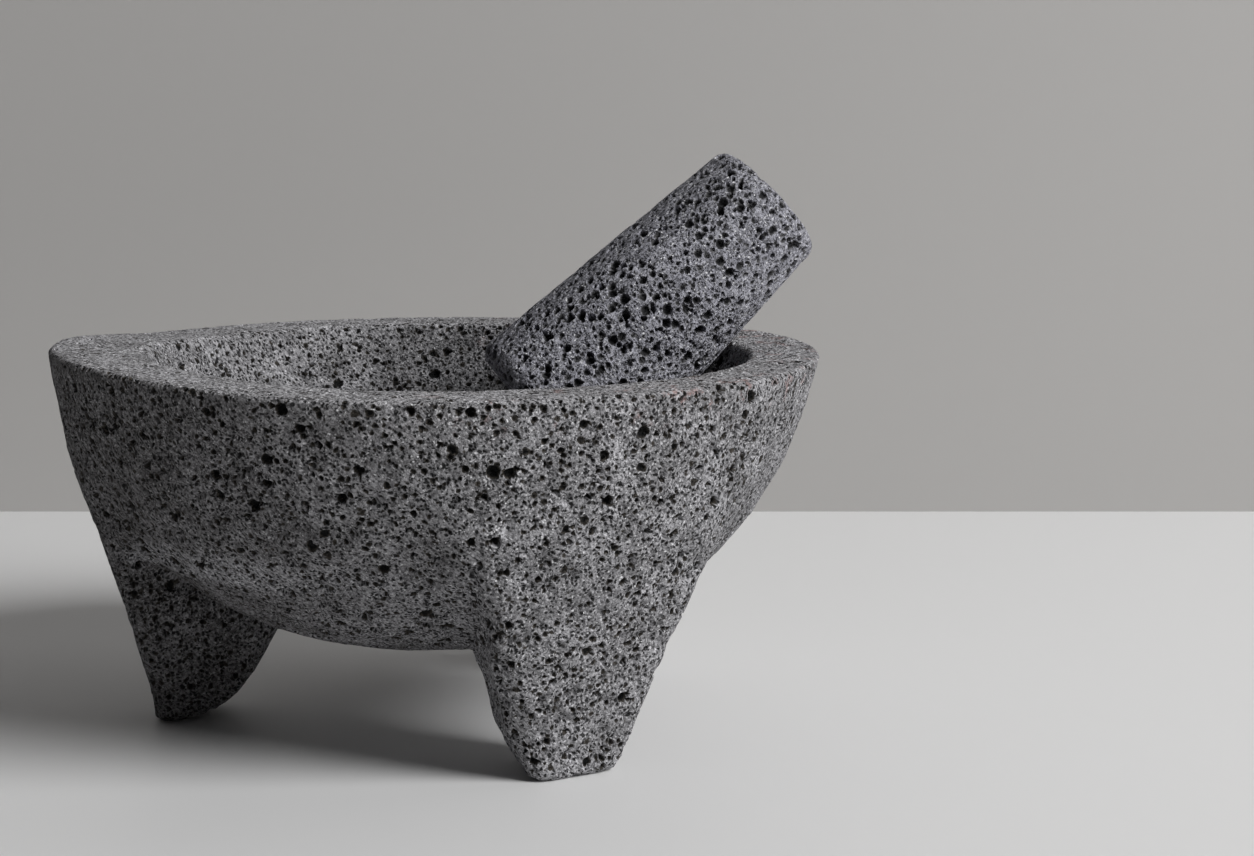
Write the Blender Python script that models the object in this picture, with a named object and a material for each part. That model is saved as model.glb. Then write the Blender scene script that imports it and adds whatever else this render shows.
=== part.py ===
"""A three-legged stone mortar with its loose pestle leaning in the bowl.

Metres, +Z up. The origin is on the bowl's axis at floor level. One leg points along -X, and +X is the
side where the pestle leans on the rim.
"""
import math

import bmesh
import bpy
import numpy as np
from mathutils import Matrix, Vector
from mathutils.geometry import interpolate_bezier

# Bowl, outside: one curve from the middle of the belly up to the rim, as (radius, height).
RIM_HEIGHT = 0.099
RIM_RADIUS = 0.102
RIM_BEVEL = 0.0010
BELLY_HEIGHT = 0.0213
BELLY_PULL = (0.070, BELLY_HEIGHT)
WALL_PULL = (0.092, 0.058)

# Cavity: a cap of a sphere, ground a little off the middle of the block.
CAVITY_RADIUS = 0.0807
CAVITY_DEPTH = 0.050
CAVITY_OFFSET = 0.003
LIP_BEVEL = 0.0008

# The rim isn't quite level: it rises by these heights at its outer edge and at the cavity's lip,
# between azimuths (starts, full from, full to, ends) in degrees.
RIM_RISES = (
    ((142, 182, 205, 268), 0.0036, 0.0018),
    ((-25, 0, 40, 80), 0.0010, 0.0),
)
RIM_RISE_DEPTH = 0.022                      # how far down the wall a rise begins

# Legs: what is left of the roughed-out cone between the three arches, as (radius, height).
FOOT_PULL = (0.081, 0.034)
SHOULDER_PULL = (0.0993, 0.0665)
SHOULDER_TOP = (0.1019, RIM_HEIGHT)
FOOT_HALF_ANGLE = math.radians(10.3)
LEG_FLARE = math.radians(0.23) / 0.001      # how fast a leg widens with height
LEG_TOP = 0.060
LEG_ARRIS = 0.0035
SOLE_BEVEL = 0.0013
SOLE_LENGTH = 0.0095
INNER_HALF_WIDTH = 0.0106
INNER_EDGE = ((0.052, 0.004), (0.052, 0.012), (0.0434, 0.0242))
LEG_ROOT = 0.052                            # radius of the inner edge up inside the bowl's base
LEGS = {                                    # azimuth in degrees, and how far out the foot stands
    "leg_left": (180, 0.0775),
    "leg_front": (-58.5, 0.0755),
    "leg_back": (60, 0.0765),
}

# Over each leg the wall swells out to the cone, between these heights and this far to each side.
SWELL_LOW = 0.041
SWELL_HIGH = 0.057
SWELL_FLAT = 0.75                           # share of the leg's half angle
SWELL_FADE = math.radians(16)

# Pestle: a cone with a round grip end and a slightly domed working end.
PESTLE_LENGTH = 0.0888
WORKING_RADIUS = 0.0249
GRIP_RADIUS = 0.0191
WORKING_CORNER = 0.005
GRIP_CORNER = 0.004
END_DOME = 0.0012
PESTLE_FOOT = Vector((0.0264, 0.0158, 0.0790))
PESTLE_LEAN = math.radians(42.6)            # of its axis above the level
PESTLE_TURN = math.radians(11.4)            # of its axis from +X towards +Y

BOWL_SIDES = 96
BELLY_RINGS = 18
CAVITY_RINGS = 12
LEG_LEVELS = 9
LEG_CROWDING = 1.5                          # above 1, the levels lie closer together near the sole
SECTION_ARC = 4
PESTLE_SIDES = 40
PESTLE_RINGS = 5


def curve_points(start, pull_start, pull_end, end, count):
    """Points (radius, height) along one Bezier curve."""
    knots = [Vector((r, z, 0)) for r, z in (start, pull_start, pull_end, end)]
    return np.array([(p.x, p.y) for p in interpolate_bezier(*knots, count)])


def smoothstep(low, high, value):
    t = min(1, max(0, (value - low) / (high - low)))
    return t * t * (3 - 2 * t)


def shell_radius(height, foot_radius):
    """Radius of the roughed-out cone that a leg's outer face lies on."""
    line = curve_points((foot_radius, 0), FOOT_PULL, SHOULDER_PULL, SHOULDER_TOP, 40)
    return float(np.interp(height, line[:, 1], line[:, 0]))


def leg_half_angle(height):
    return FOOT_HALF_ANGLE + LEG_FLARE * height


def wall_radius(azimuth, height, bowl_radius):
    """The bowl's own radius between the legs, swelling out to the cone over each leg."""
    flat = SWELL_FLAT * leg_half_angle(height)
    rise = smoothstep(SWELL_LOW, SWELL_HIGH, height)
    radius = bowl_radius
    for leg_azimuth, foot_radius in LEGS.values():
        aside = abs(math.remainder(azimuth - math.radians(leg_azimuth), math.tau))
        share = rise * (1 - smoothstep(flat, flat + SWELL_FADE, aside))
        reach = shell_radius(height, foot_radius) - bowl_radius
        radius = max(radius, bowl_radius + reach * share)
    return radius


def ring(bm, radius, height, centre_x=0.0, sides=BOWL_SIDES):
    """One loop of vertices; radius is a number or a function of the azimuth."""
    loop = []
    for i in range(sides):
        azimuth = math.tau * i / sides
        r = radius(azimuth) if callable(radius) else radius
        loop.append(bm.verts.new((centre_x + r * math.cos(azimuth), r * math.sin(azimuth), height)))
    return loop


def bridge(bm, loops):
    """Walls between each loop and the next."""
    for lower, upper in zip(loops, loops[1:]):
        for i in range(len(lower)):
            j = (i + 1) % len(lower)
            bm.faces.new((lower[i], lower[j], upper[j], upper[i]))


def close_with_fan(bm, loop, centre):
    """A cap of triangles round a middle vertex."""
    middle = bm.verts.new(centre)
    for i in range(len(loop)):
        bm.faces.new((middle, loop[(i + 1) % len(loop)], loop[i]))


def finish_mesh(bm, name):
    bmesh.ops.remove_doubles(bm, verts=bm.verts, dist=1e-6)
    bmesh.ops.recalc_face_normals(bm, faces=bm.faces)
    mesh = bpy.data.meshes.new(name)
    bm.to_mesh(mesh)
    bm.free()
    mesh.shade_smooth()
    mesh.set_sharp_from_angle(angle=math.radians(40))
    obj = bpy.data.objects.new(name, mesh)
    bpy.context.scene.collection.objects.link(obj)
    return obj


def stone(name, colour, roughness):
    material = bpy.data.materials.new(name)
    material.use_nodes = True
    shader = material.node_tree.nodes["Principled BSDF"]
    shader.inputs["Base Color"].default_value = (*colour, 1)
    shader.inputs["Roughness"].default_value = roughness
    shader.inputs["Metallic"].default_value = 0
    return material


def raise_rim(bm):
    """Lifts the rim where it stands higher than the rest, and the wall under it ever less."""
    for vertex in bm.verts:
        x, y, height = vertex.co
        share = smoothstep(RIM_HEIGHT - RIM_RISE_DEPTH, RIM_HEIGHT, height)
        outwards = smoothstep(CAVITY_RADIUS, RIM_RADIUS, math.hypot(x, y))
        azimuth = math.degrees(math.atan2(y, x))
        for (start, full_from, full_to, end), edge, lip in RIM_RISES:
            turned = start + (azimuth - start) % 360
            bump = smoothstep(start, full_from, turned) * (1 - smoothstep(full_to, end, turned))
            vertex.co.z += share * bump * (lip + (edge - lip) * outwards)


def make_bowl():
    """The bowl with the swelling over each leg, and its cavity."""
    bm = bmesh.new()
    wall_top = (RIM_RADIUS, RIM_HEIGHT - RIM_BEVEL)
    outline = curve_points((0, BELLY_HEIGHT), BELLY_PULL, WALL_PULL, wall_top, BELLY_RINGS)
    loops = []
    for radius, height in outline[1:]:
        loops.append(ring(bm, lambda a: wall_radius(a, height, radius), height))
    loops.append(ring(bm, RIM_RADIUS - RIM_BEVEL, RIM_HEIGHT))
    loops.append(ring(bm, CAVITY_RADIUS + LIP_BEVEL, RIM_HEIGHT, CAVITY_OFFSET))

    sphere = (CAVITY_RADIUS**2 + CAVITY_DEPTH**2) / (2 * CAVITY_DEPTH)
    centre_height = RIM_HEIGHT + sphere - CAVITY_DEPTH
    lip_angle = math.acos((centre_height - RIM_HEIGHT + LIP_BEVEL) / sphere)
    for k in range(CAVITY_RINGS):
        angle = lip_angle * (1 - k / CAVITY_RINGS)
        loops.append(
            ring(bm, sphere * math.sin(angle), centre_height - sphere * math.cos(angle), CAVITY_OFFSET)
        )
    bridge(bm, loops)
    close_with_fan(bm, loops[0], (0, 0, BELLY_HEIGHT))
    close_with_fan(bm, loops[-1][::-1], (CAVITY_OFFSET, 0, RIM_HEIGHT - CAVITY_DEPTH))
    raise_rim(bm)
    return finish_mesh(bm, "mortar")


def leg_inner_radius(height, foot_radius):
    """A leg's inner edge: up from the sole, round, and steeply in under the belly."""
    sole = (foot_radius - SOLE_LENGTH, 0)
    edge = curve_points(sole, *INNER_EDGE, 20)
    return float(np.interp(height, [*edge[:, 1], LEG_TOP], [*edge[:, 0], LEG_ROOT]))


def rounded(corners, steps=3):
    """The closed outline of (point, radius) corners, each with a radius made a small arc."""
    outline = []
    for i, (corner, radius) in enumerate(corners):
        if radius == 0:
            outline.append(corner)
            continue
        before = (corners[i - 1][0] - corner).normalized()
        after = (corners[(i + 1) % len(corners)][0] - corner).normalized()
        half = before.angle(after) / 2
        middle = corner + (before + after).normalized() * (radius / math.sin(half))
        first = (corner + before * (radius / math.tan(half)) - middle).normalized()
        last = (corner + after * (radius / math.tan(half)) - middle).normalized()
        outline += [middle + first.slerp(last, k / (steps - 1)) * radius for k in range(steps)]
    return outline


def leg_section(height, foot_radius, shrink):
    """A leg's outline at one height, with +X outwards: an arc outside, and sides that run together."""
    outer = shell_radius(height, foot_radius) - shrink
    half_angle = leg_half_angle(height) - shrink / outer
    inner = leg_inner_radius(height, foot_radius) + shrink
    inner_half = INNER_HALF_WIDTH - shrink
    arris = LEG_ARRIS - shrink
    corners = [(Vector((inner, -inner_half)), arris)]
    for k in range(SECTION_ARC + 1):
        azimuth = half_angle * (2 * k / SECTION_ARC - 1)
        point = Vector((outer * math.cos(azimuth), outer * math.sin(azimuth)))
        corners.append((point, arris if k in (0, SECTION_ARC) else 0))
    corners.append((Vector((inner, inner_half)), arris))
    return rounded(corners)


def make_leg(name, azimuth, foot_radius):
    """One leg from its sole up into the bowl's wall."""
    bm = bmesh.new()
    levels = [(0, SOLE_BEVEL)]
    for k in range(LEG_LEVELS + 1):
        share = (k / LEG_LEVELS) ** LEG_CROWDING
        levels.append((SOLE_BEVEL + (LEG_TOP - SOLE_BEVEL) * share, 0))
    turn = Matrix.Rotation(math.radians(azimuth), 3, "Z")
    loops = []
    for height, shrink in levels:
        outline = leg_section(height, foot_radius, shrink)
        loops.append([bm.verts.new(turn @ Vector((p.x, p.y, height))) for p in outline])
    bridge(bm, loops)
    bm.faces.new(loops[0][::-1])
    bm.faces.new(loops[-1])
    leg = finish_mesh(bm, name)
    leg.hide_render = True
    leg.display_type = "WIRE"
    return leg


def make_mortar():
    """Bowl and legs are one block of stone."""
    mortar = make_bowl()
    for name, (azimuth, foot_radius) in LEGS.items():
        union = mortar.modifiers.new(name, "BOOLEAN")
        union.operation = "UNION"
        union.solver = "EXACT"
        union.object = make_leg(name, azimuth, foot_radius)
    mortar.data.materials.append(stone("mortar_basalt", (0.115, 0.115, 0.118), 0.88))


def corner_profile(radius, position, corner, outward):
    """A quarter round at one end of the pestle, as (radius, position along the axis)."""
    return [
        (
            radius - corner * (1 - math.cos(a)),
            position + outward * corner * (math.sin(a) - 1),
        )
        for a in np.linspace(0, math.pi / 2, PESTLE_RINGS)
    ]


def make_pestle():
    """The pestle stands on its working end in its own frame, then leans into the bowl."""
    working = corner_profile(WORKING_RADIUS, 0, WORKING_CORNER, -1)[::-1]
    grip = corner_profile(GRIP_RADIUS, PESTLE_LENGTH, GRIP_CORNER, 1)
    bm = bmesh.new()
    loops = [ring(bm, radius, height, sides=PESTLE_SIDES) for radius, height in working + grip]
    bridge(bm, loops)
    close_with_fan(bm, loops[0], (0, 0, -END_DOME))
    close_with_fan(bm, loops[-1][::-1], (0, 0, PESTLE_LENGTH + END_DOME))
    pestle = finish_mesh(bm, "pestle")
    lean = Matrix.Rotation(math.pi / 2 - PESTLE_LEAN, 4, "Y")
    turn = Matrix.Rotation(PESTLE_TURN, 4, "Z")
    pestle.matrix_world = Matrix.Translation(PESTLE_FOOT) @ turn @ lean
    pestle.data.materials.append(stone("pestle_basalt", (0.14, 0.142, 0.15), 0.85))


def main():
    for old in list(bpy.data.objects):
        bpy.data.objects.remove(old)
    make_mortar()
    make_pestle()


main()
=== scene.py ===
"""Looks of a three-legged stone mortar and its pestle, carved from vesicular basalt.

Each stone starts as a fine copy of its CAD solid. A Geometry Nodes tree hews and carves it, bubble
by bubble, and the finish repeats the same bubbles from the point of skin that each place was cut
from.
"""

import math
from collections import namedtuple

import bmesh
import bpy
from mathutils import Euler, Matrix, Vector


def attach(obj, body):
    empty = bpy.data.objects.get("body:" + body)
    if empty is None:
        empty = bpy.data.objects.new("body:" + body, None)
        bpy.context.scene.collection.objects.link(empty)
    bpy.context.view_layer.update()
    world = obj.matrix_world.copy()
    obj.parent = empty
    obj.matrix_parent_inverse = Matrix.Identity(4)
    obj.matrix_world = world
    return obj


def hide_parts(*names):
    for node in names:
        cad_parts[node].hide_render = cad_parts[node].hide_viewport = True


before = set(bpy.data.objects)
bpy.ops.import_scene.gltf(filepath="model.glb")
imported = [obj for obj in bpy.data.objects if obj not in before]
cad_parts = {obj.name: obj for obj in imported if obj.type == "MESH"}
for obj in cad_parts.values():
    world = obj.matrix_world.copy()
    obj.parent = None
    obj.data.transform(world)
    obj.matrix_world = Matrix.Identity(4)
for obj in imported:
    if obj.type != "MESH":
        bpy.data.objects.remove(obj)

MM = 0.001

# Camera: in front of the mortar, a little to the right, looking slightly down on the rim.
EYE = (0.0506, -0.6538, 0.1714)
EYE_PITCH = math.radians(8.08)
SENSOR_WIDTH = 36.0
FOCAL_SHARE = 1.9537                        # focal length over sensor width

# Stage
FLOOR_SIZE = 4.0
FLOOR_COLOUR = (0.80, 0.80, 0.80)
FLOOR_ROUGHNESS = 0.5
WALL_DISTANCE = 0.315
WALL_HEIGHT = 2.0
WALL_COLOUR = (0.44, 0.43, 0.42)
WALL_ROUGHNESS = 0.8

# Light: one large soft source on the right, and what the room gives back.
KEY_PLACE = (2.55, -1.50, 2.10)
KEY_AIM = (0.0, 0.0, 0.05)
KEY_SIZE = 1.9
KEY_POWER = 140.0
ROOM_COLOUR = (0.82, 0.82, 0.84)
ROOM_LIGHT = 0.03

# Bubbles of one size: one to a cell of this spacing, where a share of the cells has one.
Bubbles = namedtuple("Bubbles", "name spacing smallest largest bias share seed")

# How a stone is worked. Its bubbles are cut into its mesh, and its pits are only in its finish.
# Creases are filled on the +X side of fill_from, and the rim is ground smooth above ground_from;
# a value of 1 m turns either off. Grit is how dark the darkest grains are beside the rest.
# The two pore colours are painted shade in the hollows of bubbles and pits; the lighter one, at a
# bubble's shallow edge, is partly dust.
Stone = namedtuple(
    "Stone",
    "node body slot voxel triangles fill_blur fill_from hewn hewn_size chips chip_size"
    " ground_from ragged ragged_size bubbles pits dark_matrix light_matrix pore_dark pore_light"
    " grit",
)
MORTAR = Stone(
    node="mortar",
    body="mortar",
    slot="mortar_basalt",
    voxel=0.42 * MM,
    triangles=196000,
    fill_blur=900,
    fill_from=-30 * MM,
    hewn=0.6 * MM,
    hewn_size=15 * MM,
    chips=2.8 * MM,
    chip_size=4.5 * MM,
    ground_from=92 * MM,
    ragged=1.2 * MM,
    ragged_size=1.6 * MM,
    bubbles=(
        Bubbles("Large bubbles", 4.4 * MM, 0.7 * MM, 1.75 * MM, 2.2, 0.65, 0.31),
        Bubbles("Middle bubbles", 2.15 * MM, 0.45 * MM, 0.85 * MM, 1.2, 0.9, 0.77),
    ),
    pits=(Bubbles("Pits", 1.05 * MM, 0.22 * MM, 0.56 * MM, 1.0, 1.0, 0.13),),
    dark_matrix=(0.25, 0.246, 0.256, 1),
    light_matrix=(0.42, 0.415, 0.435, 1),
    pore_dark=(0.005, 0.005, 0.005, 1),
    pore_light=(0.055, 0.048, 0.040, 1),
    grit=0.24,
)
PESTLE = Stone(
    node="pestle",
    body="pestle",
    slot="pestle_basalt",
    voxel=0.28 * MM,
    triangles=190000,
    fill_blur=1,
    fill_from=1.0,
    hewn=0.3 * MM,
    hewn_size=14 * MM,
    chips=1.0 * MM,
    chip_size=3.5 * MM,
    ground_from=1.0,
    ragged=1.1 * MM,
    ragged_size=1.7 * MM,
    bubbles=(
        Bubbles("Large bubbles", 2.9 * MM, 0.7 * MM, 1.65 * MM, 1.6, 1.0, 0.93),
        Bubbles("Middle bubbles", 1.7 * MM, 0.35 * MM, 0.75 * MM, 1.2, 0.9, 0.59),
    ),
    pits=(Bubbles("Pits", 1.1 * MM, 0.15 * MM, 0.40 * MM, 1.2, 0.6, 0.23),),
    dark_matrix=(0.275, 0.275, 0.312, 1),
    light_matrix=(0.385, 0.385, 0.430, 1),
    pore_dark=(0.030, 0.030, 0.032, 1),
    pore_light=(0.15, 0.148, 0.155, 1),
    grit=0.55,
)

# Where a stone's surface is filled, chipped and ground. A pair is where a mask starts and is full.
SOFTEN_STEPS = 1
EDGE_BLUR = 90
EDGE_SHARPNESS = (0.2 * MM, 1.1 * MM)
FILL_FADE = 20 * MM
FILL_OUT = (42 * MM, 47 * MM)
FILL_LIMIT = 4 * MM
FILL_BLUR = 60
CREASE_FILL = 1.35
GROUND_FADE = 4 * MM
GROUND_FACING = (0.75, 0.95)
CALM_HEWN = 0.85                            # how much less the ground rim is hewn
CALM_CHIPS = 0.8
FLAT_CHIPS = 0.4                            # chips away from edges, beside those on edges
RUBBED = 0.12 * MM

# The front leg's swell, on its side towards the left leg.
SWELL = 2.0 * MM
SWELL_FACING = (0.6, 0.9)
SWELL_OUT = (48 * MM, 56 * MM)
SWELL_LOW = (2 * MM, 14 * MM)
SWELL_HIGH = (30 * MM, 46 * MM)
SWELL_ALONG = (30 * MM, 34 * MM)            # from where creases are filled
SWELL_ACROSS = (20 * MM, 30 * MM)

# Finish
GRAIN_SIZE = 0.42 * MM
GRAIN_TILT = 2.8
CRUMBLE_SIZE = 0.9 * MM
CLOUD_SIZE = 11 * MM
STREAK_SIZE = 0.6 * MM
STREAK_TILT = 0.65
STREAK_PULL = (1.0, 1.0, 0.22)
GRIT_DEPTH = 1.0 * MM
BUBBLE_DIP = 0.25 * MM
# Painted glints: near-white specks in the colour, standing in for light glancing off crystal faces.
PAINTED_GLINT = (0.8, 0.8, 0.82, 1)
WORN = (0.47, 0.465, 0.472, 1)
RUST = (0.36, 0.19, 0.17, 1)
RUST_SIZE = 6 * MM
RUST_LEVEL = (88 * MM, 96 * MM)
RUST_ALONG = (-10 * MM, 25 * MM)
# Painted shade: the mortar's outside is darkened towards the left, the side away from the key light,
# but not in the cavity or on the ground rim.
PAINTED_SHADE_SPAN = (-85 * MM, 35 * MM)             # along X, over which the painted shade on the left fades out
PAINTED_SHADE_COLOUR = (0.012, 0.006, 0, 1)
CAVITY_OUT = (82 * MM, 86 * MM)
CAVITY_LEVEL = (46 * MM, 49 * MM)
STONE_ROUGHNESS = 0.9
GLINT_POLISH = 0.4
STONE_SHEEN = 0.25
CRISP_ANGLE = math.radians(42)


class Wire:
    """An output of a node. Arithmetic on it adds Math nodes to its tree."""

    def __init__(self, tree, socket):
        self.tree = tree
        self.socket = socket

    def math(self, operation, *values):
        inputs = dict(enumerate(values))
        return self.tree.node("ShaderNodeMath", {"operation": operation}, inputs)[0]

    def __add__(self, other):
        return self.math("ADD", self, other)

    def __radd__(self, other):
        return self.math("ADD", other, self)

    def __sub__(self, other):
        return self.math("SUBTRACT", self, other)

    def __rsub__(self, other):
        return self.math("SUBTRACT", other, self)

    def __mul__(self, other):
        return self.math("MULTIPLY", self, other)

    def __rmul__(self, other):
        return self.math("MULTIPLY", other, self)

    def __truediv__(self, other):
        return self.math("DIVIDE", self, other)

    def __rtruediv__(self, other):
        return self.math("DIVIDE", other, self)

    def __pow__(self, other):
        return self.math("POWER", self, other)

    def over(self, limit):
        return self.math("GREATER_THAN", self, limit)

    def under(self, limit):
        return self.math("LESS_THAN", self, limit)

    def at_least(self, other):
        return self.math("MAXIMUM", self, other)

    def at_most(self, other):
        return self.math("MINIMUM", self, other)

    def root(self):
        return self.math("SQRT", self)

    def rise(self, low, high):
        """From 0 at low to 1 at high, easing in and out."""
        inputs = {"Value": self, "From Min": low, "From Max": high}
        settings = {"interpolation_type": "SMOOTHSTEP"}
        return self.tree.node("ShaderNodeMapRange", settings, inputs)["Result"]


class Made:
    """A node that was just made; its outputs are read by name or by number."""

    def __init__(self, tree, node):
        self.tree = tree
        self.made = node

    def __getitem__(self, key):
        return Wire(self.tree, self.made.outputs[key])


class Tree:
    """A node tree and the ways of adding to it."""

    def __init__(self, tree):
        self.tree = tree

    def node(self, kind, settings=None, inputs=None):
        """Adds a node: its settings first, then the value or link of each socket."""
        node = self.tree.nodes.new(kind)
        for name, value in (settings or {}).items():
            setattr(node, name, value)
        for key, value in (inputs or {}).items():
            if isinstance(value, Wire):
                self.tree.links.new(value.socket, node.inputs[key])
            else:
                node.inputs[key].default_value = value
        return Made(self, node)

    def vector(self, operation, *values):
        inputs = dict(enumerate(values))
        return self.node("ShaderNodeVectorMath", {"operation": operation}, inputs)[0]

    def stretch(self, vector, scale):
        inputs = {"Vector": vector, "Scale": scale}
        return self.node("ShaderNodeVectorMath", {"operation": "SCALE"}, inputs)[0]

    def dot(self, one, other):
        settings = {"operation": "DOT_PRODUCT"}
        return self.node("ShaderNodeVectorMath", settings, {0: one, 1: other})["Value"]

    def parts(self, vector):
        made = self.node("ShaderNodeSeparateXYZ", None, {0: vector})
        return made["X"], made["Y"], made["Z"]

    def noise(self, place, size, detail, roughness):
        """Soft noise whose lumps are about this size; Fac and Color."""
        inputs = {
            "Vector": place,
            "Scale": 1 / size,
            "Detail": detail,
            "Roughness": roughness,
        }
        return self.node("ShaderNodeTexNoise", {"noise_dimensions": "3D"}, inputs)

    def mix(self, factor, one, other, blend="MIX"):
        """Colours mixed; factor 0 gives one, 1 gives other."""
        settings = {"data_type": "RGBA", "blend_type": blend}
        return self.node("ShaderNodeMix", settings, {0: factor, 6: one, 7: other})[2]


def ragged(tree, skin, size, amount):
    """The point of skin pushed about by noise, so that the bubbles there have ragged outlines."""
    push = tree.vector("SUBTRACT", tree.noise(skin, size, 2.0, 0.6)["Color"], (0.5, 0.5, 0.5))
    return tree.vector("ADD", skin, tree.stretch(push, amount))


def nearest_bubble(tree, place, spacing, smallest, largest, bias, share, seed):
    """The way from the nearest bubble's middle, and its radius: 0 where its cell has no bubble."""
    spot = tree.vector("ADD", place, (seed, seed * 0.7, -seed))
    inputs = {"Vector": spot, "Scale": 1 / spacing, "Randomness": 0.95}
    settings = {"voronoi_dimensions": "3D", "feature": "F1"}
    cell = tree.node("ShaderNodeTexVoronoi", settings, inputs)
    size, chance, _ = tree.parts(cell["Color"])
    radius = (smallest + size**bias * (largest - smallest)) * chance.under(share)
    return tree.vector("SUBTRACT", spot, cell["Position"]), radius


def carve_depth(tree, away, radius, facing):
    """How far below the skin the far side of a bubble lies, and 0 outside it."""
    along = tree.dot(away, facing)
    room = radius * radius - tree.dot(away, away)
    return room.over(0.0) * (along + (along * along + room).at_least(0.0).root())


def carving_tree(stone):
    """The tree that fills a stone's creases, hews it, chips its edges and opens its bubbles."""
    group = bpy.data.node_groups.new(f"Carve {stone.node}", "GeometryNodeTree")
    values = {}

    def add_input(name, value, kind="Float"):
        socket = group.interface.new_socket(
            name=name, in_out="INPUT", socket_type=f"NodeSocket{kind}"
        )
        if value is not None:
            values[socket.identifier] = value

    add_input("Stone", None, "Geometry")
    add_input("Crease blur", stone.fill_blur, "Int")
    add_input("Creases filled from", stone.fill_from)
    add_input("Hewn depth", stone.hewn)
    add_input("Hewn size", stone.hewn_size)
    add_input("Chip depth", stone.chips)
    add_input("Chip size", stone.chip_size)
    add_input("Ground smooth from", stone.ground_from)
    add_input("Ragged depth", stone.ragged)
    add_input("Ragged size", stone.ragged_size)
    for kind in stone.bubbles:
        for field in Bubbles._fields[1:-1]:
            add_input(f"{kind.name} {field}", getattr(kind, field))
    group.interface.new_socket(
        name="Stone", in_out="OUTPUT", socket_type="NodeSocketGeometry"
    )

    tree = Tree(group)
    given = tree.node("NodeGroupInput")
    place = tree.node("GeometryNodeInputPosition")[0]
    facing = tree.node("GeometryNodeInputNormal")[0]

    def blurred(value, times):
        inputs = {"Value": value, "Iterations": times}
        settings = {"data_type": "FLOAT_VECTOR"}
        return tree.node("GeometryNodeBlurAttribute", settings, inputs)["Value"]

    def below_blurred(times):
        """How far outside a place the blurred surface lies: above 0 in a crease, below on an edge."""
        return tree.dot(tree.vector("SUBTRACT", blurred(place, times), place), facing)

    def keep(stone_so_far, name, value, kind="FLOAT"):
        return tree.node(
            "GeometryNodeStoreNamedAttribute",
            {"data_type": kind, "domain": "POINT"},
            {"Geometry": stone_so_far, "Name": name, "Value": value},
        )["Geometry"]

    def kept(name, kind="FLOAT"):
        settings = {"data_type": kind}
        inputs = {"Name": name}
        return tree.node("GeometryNodeInputNamedAttribute", settings, inputs)["Attribute"]

    def move(stone_so_far, offset):
        inputs = {"Geometry": stone_so_far, "Offset": offset}
        return tree.node("GeometryNodeSetPosition", None, inputs)["Geometry"]

    along, across, level = tree.parts(place)
    sideways, _, upright = tree.parts(facing)
    fill_from = given["Creases filled from"]
    out = (along * along + across * across).root()
    filled = along.rise(fill_from, fill_from + FILL_FADE) * out.rise(*FILL_OUT)
    depth = below_blurred(given["Crease blur"]).at_least(0.0).at_most(FILL_LIMIT)
    fill = blurred(tree.stretch(facing, depth * CREASE_FILL * filled), FILL_BLUR)
    swell = (sideways * -1.0).rise(*SWELL_FACING) * out.rise(*SWELL_OUT)
    swell = swell * level.rise(*SWELL_LOW) * (1.0 - level.rise(*SWELL_HIGH))
    swell = swell * along.rise(fill_from + SWELL_ALONG[0], fill_from + SWELL_ALONG[1])
    swell = swell * (across * -1.0).rise(*SWELL_ACROSS)
    fill = tree.vector("ADD", fill, tree.stretch(facing, swell * SWELL))
    edge = (below_blurred(EDGE_BLUR) * -1.0).rise(*EDGE_SHARPNESS)
    ground_from = given["Ground smooth from"]
    ground = level.rise(ground_from, ground_from + GROUND_FADE) * upright.rise(*GROUND_FACING)
    shape = keep(given["Stone"], "edge", edge)
    shape = keep(shape, "ground", ground)
    shape = move(shape, fill)
    shape = keep(shape, "skin", place, "FLOAT_VECTOR")

    skin = kept("skin", "FLOAT_VECTOR")
    calm = level.rise(ground_from - GROUND_FADE, ground_from + GROUND_FADE)
    lumps = tree.noise(skin, given["Hewn size"], 3.0, 0.55)["Fac"]
    chips = tree.noise(skin, given["Chip size"], 3.0, 0.6)["Fac"]
    hewn = lumps.rise(0.25, 0.75) * given["Hewn depth"] * (1.0 - calm * CALM_HEWN)
    chipped = chips.rise(0.5, 0.72) * given["Chip depth"]
    chipped = chipped * (kept("edge") * (1.0 - FLAT_CHIPS) + FLAT_CHIPS)
    worked = hewn + chipped * (1.0 - calm * CALM_CHIPS)
    ragged_place = ragged(tree, skin, given["Ragged size"], given["Ragged depth"])
    opened = None
    for kind in stone.bubbles:
        sizes = [given[f"{kind.name} {field}"] for field in Bubbles._fields[1:-1]]
        away, radius = nearest_bubble(tree, ragged_place, *sizes, kind.seed)
        one = carve_depth(tree, away, rubbed(radius, kept("ground")), facing)
        opened = one if opened is None else opened.at_least(one)
    shape = move(shape, tree.stretch(facing, (worked + opened) * -1.0))
    whole = tree.node("GeometryNodeRealizeInstances", None, {"Geometry": shape})[0]
    finish = {"Geometry": whole, "Material": basalt(stone)}
    done = tree.node("GeometryNodeSetMaterial", None, finish)[0]
    tree.node("NodeGroupOutput", None, {0: done})
    return group, values


def rubbed(radius, ground):
    """On the ground rim only the larger bubbles still show, and smaller."""
    return radius - ground * RUBBED


def plain_copy(node):
    """A closed copy of a CAD node's mesh."""
    copy = bmesh.new()
    copy.from_mesh(node.data)
    bmesh.ops.remove_doubles(copy, verts=copy.verts, dist=0.001 * MM)
    bmesh.ops.recalc_face_normals(copy, faces=copy.faces)
    mesh = bpy.data.meshes.new(f"{node.name} copy")
    copy.to_mesh(mesh)
    copy.free()
    return mesh


def evaluated_mesh(thing):
    view = bpy.context.evaluated_depsgraph_get()
    return bpy.data.meshes.new_from_object(thing.evaluated_get(view), depsgraph=view)


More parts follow.
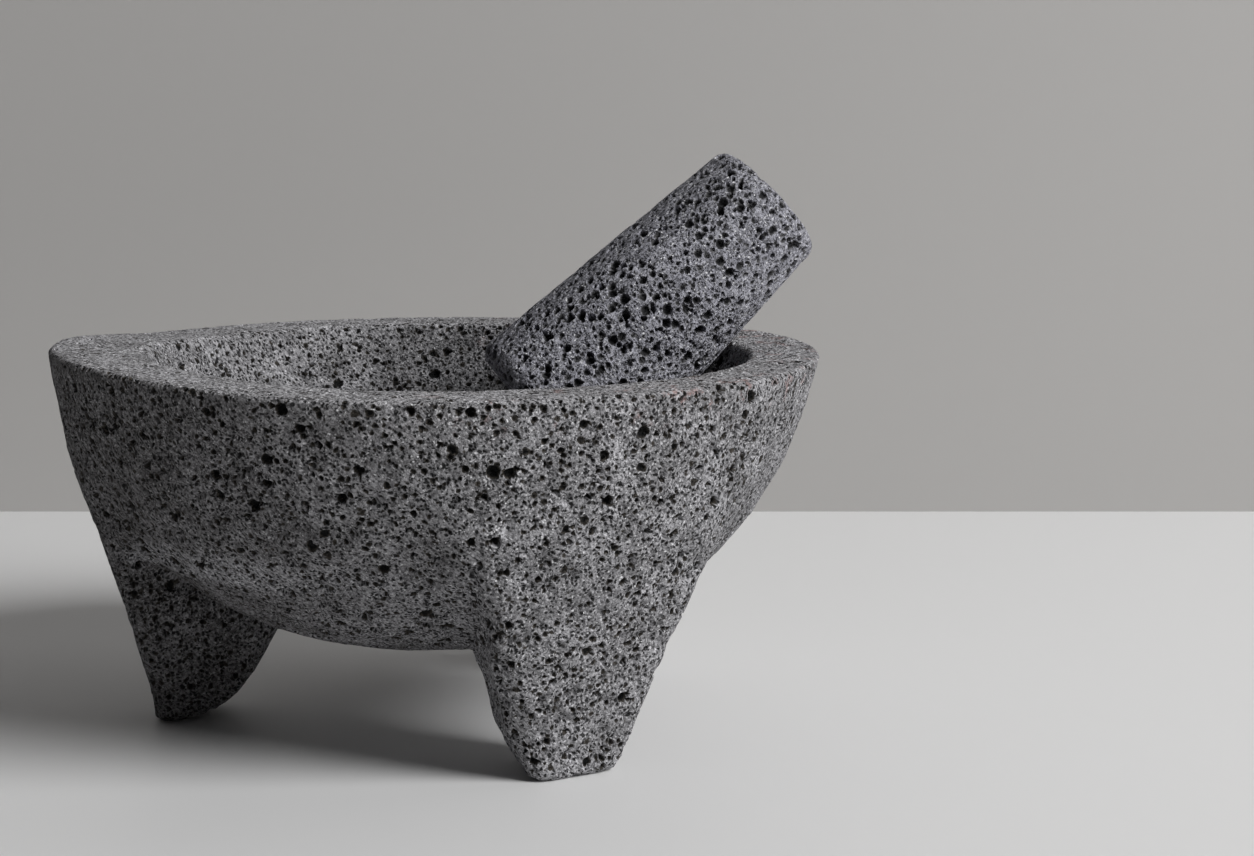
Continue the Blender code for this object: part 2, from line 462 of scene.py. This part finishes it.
def make_stone(stone):
    """A stone's own piece: its CAD solid in fine voxels, carved, then thinned where it is plain."""
    piece = bpy.data.objects.new(f"{stone.node}_stone", plain_copy(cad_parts[stone.node]))
    bpy.context.scene.collection.objects.link(piece)
    voxels = piece.modifiers.new("Voxels", "REMESH")
    voxels.mode = "VOXEL"
    voxels.voxel_size = stone.voxel * 1.0
    soften = piece.modifiers.new("Soften", "SMOOTH")
    soften.factor = 0.5
    soften.iterations = SOFTEN_STEPS
    group, values = carving_tree(stone)
    carve = piece.modifiers.new("Carve", "NODES")
    carve.node_group = group
    for identifier, value in values.items():
        carve[identifier] = value
    carved = evaluated_mesh(piece)

    piece.modifiers.clear()
    piece.data = carved
    triangles = sum(len(face.vertices) - 2 for face in carved.polygons)
    thin = piece.modifiers.new("Thin", "DECIMATE")
    thin.ratio = min(1.0, stone.triangles / triangles)
    piece.data = evaluated_mesh(piece)
    piece.modifiers.clear()
    piece.data.name = piece.name
    piece.data.shade_smooth()
    piece.data.set_sharp_from_angle(angle=CRISP_ANGLE)
    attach(piece, stone.body)
    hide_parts(stone.node)


def basalt(stone):
    """Vesicular basalt: a grey matrix of tiny tilted grains with painted glints, and bubbles and
    small pits painted dark as the shade in their hollows; on the mortar, painted shade on its left
    side.
    """
    material = bpy.data.materials.new(f"{stone.node} basalt")
    material.use_nodes = True
    tree = Tree(material.node_tree)
    material.node_tree.nodes.clear()
    skin = tree.node("ShaderNodeAttribute", {"attribute_name": "skin"})["Vector"]
    ground = tree.node("ShaderNodeAttribute", {"attribute_name": "ground"})["Fac"]
    edge = tree.node("ShaderNodeAttribute", {"attribute_name": "edge"})["Fac"]
    place = ragged(tree, skin, stone.ragged_size, stone.ragged)

    # How far inside the edge of a bubble or pit a place is.
    bubble_depth = pit_depth = None
    for kind in stone.bubbles:
        away, radius = nearest_bubble(tree, place, *kind[1:])
        one = rubbed(radius, ground) - tree.dot(away, away).root()
        bubble_depth = one if bubble_depth is None else bubble_depth.at_least(one)
    for kind in stone.pits:
        away, radius = nearest_bubble(tree, place, *kind[1:])
        one = radius - tree.dot(away, away).root()
        pit_depth = one if pit_depth is None else pit_depth.at_least(one)
    bubble = bubble_depth.rise(-0.05 * MM, 0.15 * MM)
    pit = pit_depth.rise(-0.06 * MM, 0.14 * MM)

    # Grains: each one a little facet with its own tilt and its own grey.
    grain = tree.node(
        "ShaderNodeTexVoronoi",
        {"voronoi_dimensions": "3D", "feature": "F1"},
        {"Vector": skin, "Scale": 1 / GRAIN_SIZE},
    )
    tilt = tree.vector("SUBTRACT", grain["Color"], (0.5, 0.5, 0.5))
    facet = tree.dot(tree.vector("SUBTRACT", skin, grain["Position"]), tilt)
    grey, painted_glint_odds, _ = tree.parts(grain["Color"])
    crumble = tree.noise(skin, CRUMBLE_SIZE, 3.0, 0.7)["Fac"]
    cloud = tree.noise(skin, CLOUD_SIZE, 3.0, 0.6)["Fac"]
    painted_glints = painted_glint_odds.rise(0.84, 1.0)
    turned = tree.node(
        "ShaderNodeVectorRotate",
        {"rotation_type": "Y_AXIS"},
        {"Vector": skin, "Angle": STREAK_TILT},
    )["Vector"]
    streak = tree.noise(tree.vector("MULTIPLY", turned, STREAK_PULL), STREAK_SIZE, 3.0, 0.6)["Fac"]
    grit = crumble * 0.55 + streak * 0.45

    def times(base, factor):
        return tree.mix(1.0, base, (factor, factor, factor, 1), "MULTIPLY")

    colour = tree.mix(cloud.rise(0.3, 0.7), stone.dark_matrix, stone.light_matrix)
    grains = tree.mix(grey, colour, times(colour, 2.0))
    colour = tree.mix(grit.rise(0.35, 0.62), times(colour, stone.grit), grains)
    # Painted glints: a few grains are made near white, as painted highlights of crystals catching the
    # light.
    colour = tree.mix(painted_glints * 0.8, colour, PAINTED_GLINT)
    colour = tree.mix(ground * 0.8, colour, times(colour, 1.5))
    colour = tree.mix(edge * 0.12, colour, WORN)
    if stone is MORTAR:
        along, across, level = tree.parts(skin)
        rusty = tree.noise(skin, RUST_SIZE, 4.0, 0.7)["Fac"].rise(0.56, 0.66)
        rusty = rusty * level.rise(*RUST_LEVEL) * along.rise(*RUST_ALONG)
        colour = tree.mix(rusty * 0.5, colour, RUST)
        # Painted shade on the mortar's left side, away from the key light; the cavity and the ground
        # rim keep their colour.
        out = (along * along + across * across).root()
        inside = (1.0 - out.rise(*CAVITY_OUT)) * level.rise(*CAVITY_LEVEL)
        painted_left_shade = (1.0 - along.rise(*PAINTED_SHADE_SPAN)) * (1.0 - inside) * (1.0 - ground)
        colour = tree.mix(painted_left_shade * 0.48, colour, PAINTED_SHADE_COLOUR)
    # Painted shade: pits and bubbles are darkened as the shade in their hollows, deepest towards
    # their middles; the lighter brownish tone near a bubble's edge is partly dust.
    colour = tree.mix(pit * 0.92, colour, stone.pore_dark)
    pore_shade = tree.mix(bubble_depth.rise(0.1 * MM, 0.5 * MM), stone.pore_light, stone.pore_dark)
    colour = tree.mix(bubble, colour, pore_shade)

    roughness = STONE_ROUGHNESS - painted_glints * GLINT_POLISH
    height = facet * GRAIN_TILT + grit * GRIT_DEPTH
    height = height - pit_depth.at_least(0.0) - bubble * BUBBLE_DIP
    bump = tree.node(
        "ShaderNodeBump", None, {"Strength": 1.0, "Distance": 1.0, "Height": height}
    )["Normal"]
    shader = tree.node(
        "ShaderNodeBsdfPrincipled",
        None,
        {
            "Base Color": colour,
            "Roughness": roughness,
            "Normal": bump,
            "Specular IOR Level": STONE_SHEEN,
        },
    )["BSDF"]
    tree.node("ShaderNodeOutputMaterial", None, {"Surface": shader})
    return material


def plain_finish(name, colour, roughness):
    """A plain painted board."""
    material = bpy.data.materials.new(name)
    material.use_nodes = True
    shader = material.node_tree.nodes["Principled BSDF"]
    shader.inputs["Base Color"].default_value = (*colour, 1)
    shader.inputs["Roughness"].default_value = roughness
    return material


def one_sided_finish(name, colour, roughness):
    """A painted board that is clear from behind, so that it hides nothing from there."""
    material = plain_finish(name, colour, roughness)
    tree = Tree(material.node_tree)
    paint = Wire(tree, material.node_tree.nodes["Principled BSDF"].outputs["BSDF"])
    behind = tree.node("ShaderNodeNewGeometry")["Backfacing"]
    clear = tree.node("ShaderNodeBsdfTransparent")["BSDF"]
    board = tree.node("ShaderNodeMixShader", None, {0: behind, 1: paint, 2: clear})[0]
    output = material.node_tree.nodes["Material Output"]
    material.node_tree.links.new(board.socket, output.inputs["Surface"])
    return material


def sheet(name, corners, finish):
    mesh = bpy.data.meshes.new(name)
    mesh.from_pydata(corners, [], [(0, 1, 2, 3)])
    mesh.materials.append(finish)
    thing = bpy.data.objects.new(name, mesh)
    bpy.context.scene.collection.objects.link(thing)


def make_stage():
    """The pale floor that the mortar stands on, and the grey wall behind it."""
    s = FLOOR_SIZE / 2
    sheet(
        "Floor",
        [(-s, -s, 0), (s, -s, 0), (s, s, 0), (-s, s, 0)],
        plain_finish("Floor board", FLOOR_COLOUR, FLOOR_ROUGHNESS),
    )
    y = WALL_DISTANCE
    sheet(
        "Wall",
        [(-s, y, 0), (s, y, 0), (s, y, WALL_HEIGHT), (-s, y, WALL_HEIGHT)],
        one_sided_finish("Wall board", WALL_COLOUR, WALL_ROUGHNESS),
    )


def make_light():
    data = bpy.data.lights.new("Key", "AREA")
    data.shape = "DISK"
    data.size = KEY_SIZE
    data.energy = KEY_POWER
    light = bpy.data.objects.new("Key", data)
    light.location = KEY_PLACE
    shining = Vector(KEY_AIM) - Vector(KEY_PLACE)
    light.rotation_euler = shining.to_track_quat("-Z", "Y").to_euler()
    bpy.context.scene.collection.objects.link(light)
    world = bpy.data.worlds.new("Room")
    world.use_nodes = True
    air = world.node_tree.nodes["Background"]
    air.inputs["Color"].default_value = (*ROOM_COLOUR, 1)
    air.inputs["Strength"].default_value = ROOM_LIGHT
    bpy.context.scene.world = world


def make_camera():
    data = bpy.data.cameras.new("Camera")
    data.sensor_width = SENSOR_WIDTH
    data.lens = SENSOR_WIDTH * FOCAL_SHARE
    camera = bpy.data.objects.new("Camera", data)
    camera.location = EYE
    camera.rotation_euler = Euler((math.pi / 2 - EYE_PITCH, 0, 0))
    bpy.context.scene.collection.objects.link(camera)
    bpy.context.scene.camera = camera


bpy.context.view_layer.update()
bpy.context.scene.view_settings.view_transform = "Standard"
make_camera()
make_stage()
make_light()
for stone in (MORTAR, PESTLE):
    make_stone(stone)
